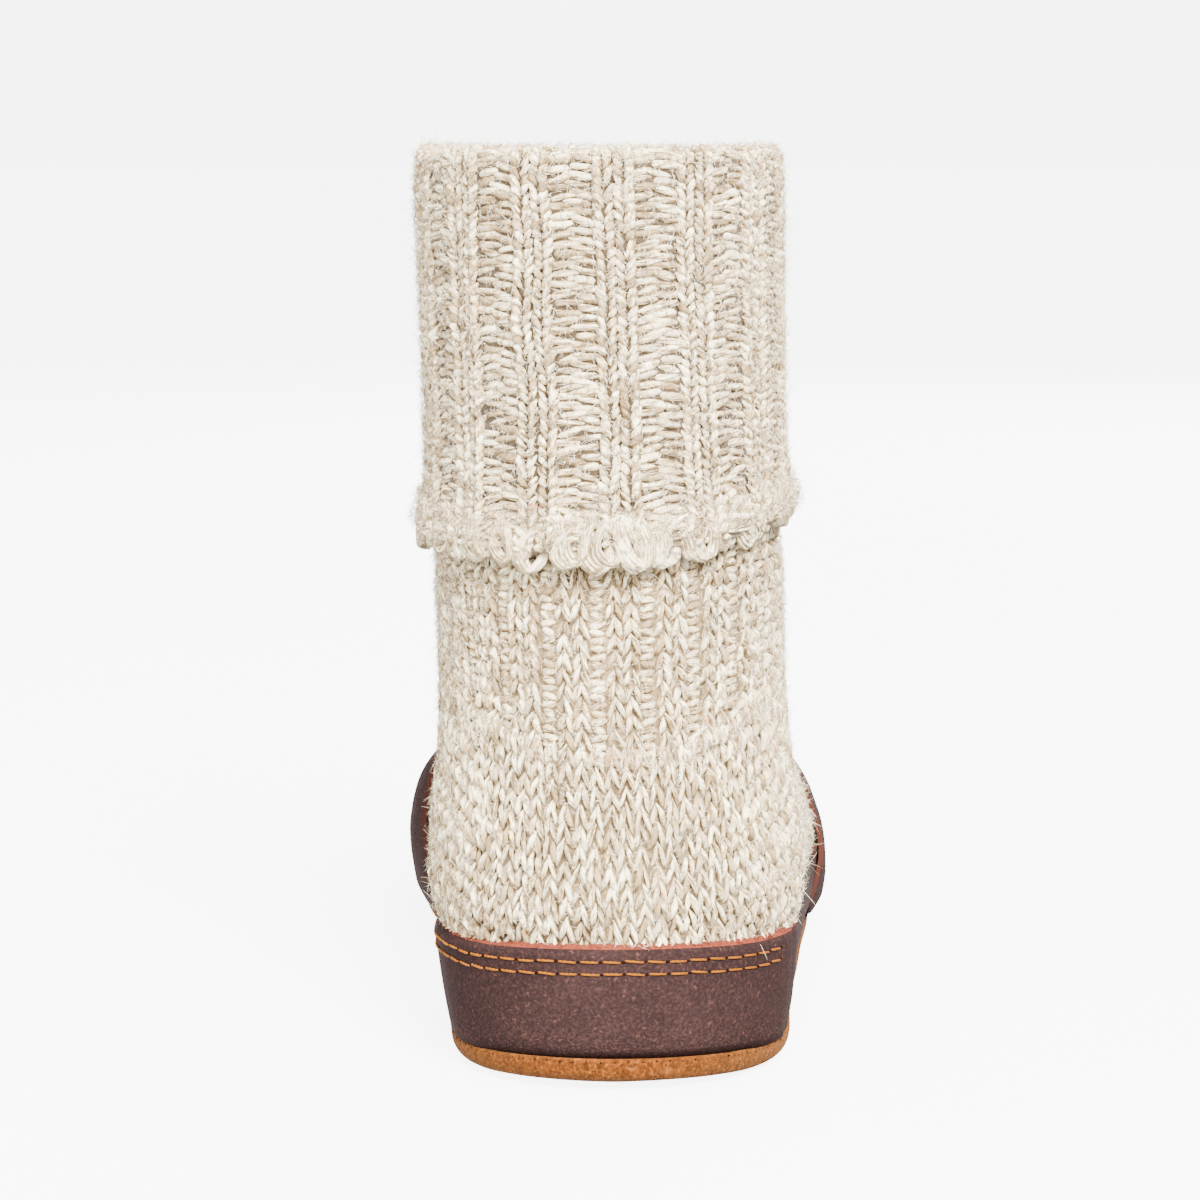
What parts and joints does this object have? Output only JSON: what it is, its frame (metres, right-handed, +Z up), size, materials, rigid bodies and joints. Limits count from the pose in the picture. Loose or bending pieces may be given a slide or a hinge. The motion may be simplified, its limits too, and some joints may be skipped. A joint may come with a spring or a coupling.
{
  "type": "slipper sock",
  "caption": "Right-foot slipper sock: ribbed ragg-wool sock with a folded cuff, leather heel band and toe cap, suede sole and soft insole.",
  "frame": {"origin": "on the floor under the middle of the slipper's outer box", "axes": "+X to the outer side of the foot, +Y to the toe, +Z up"},
  "size_m": [0.1019, 0.2579, 0.187],
  "materials": {
    "wool": "marled cream, beige and grey ragg wool, knitted, fuzzy",
    "leather": "oiled dark brown leather with lighter worn flecks",
    "suede": "tan suede with a short mottled nap",
    "felt": "soft pressed wool felt",
    "raw_edge": "cut pinkish-tan leather edge",
    "thread": "waxed orange-tan sewing thread"
  },
  "bodies": {
    "root": {"upper": "wool", "heel_band": "leather", "toe_cap": "leather", "outsole": "suede", "insole": "felt"}
  },
  "joints": []
}
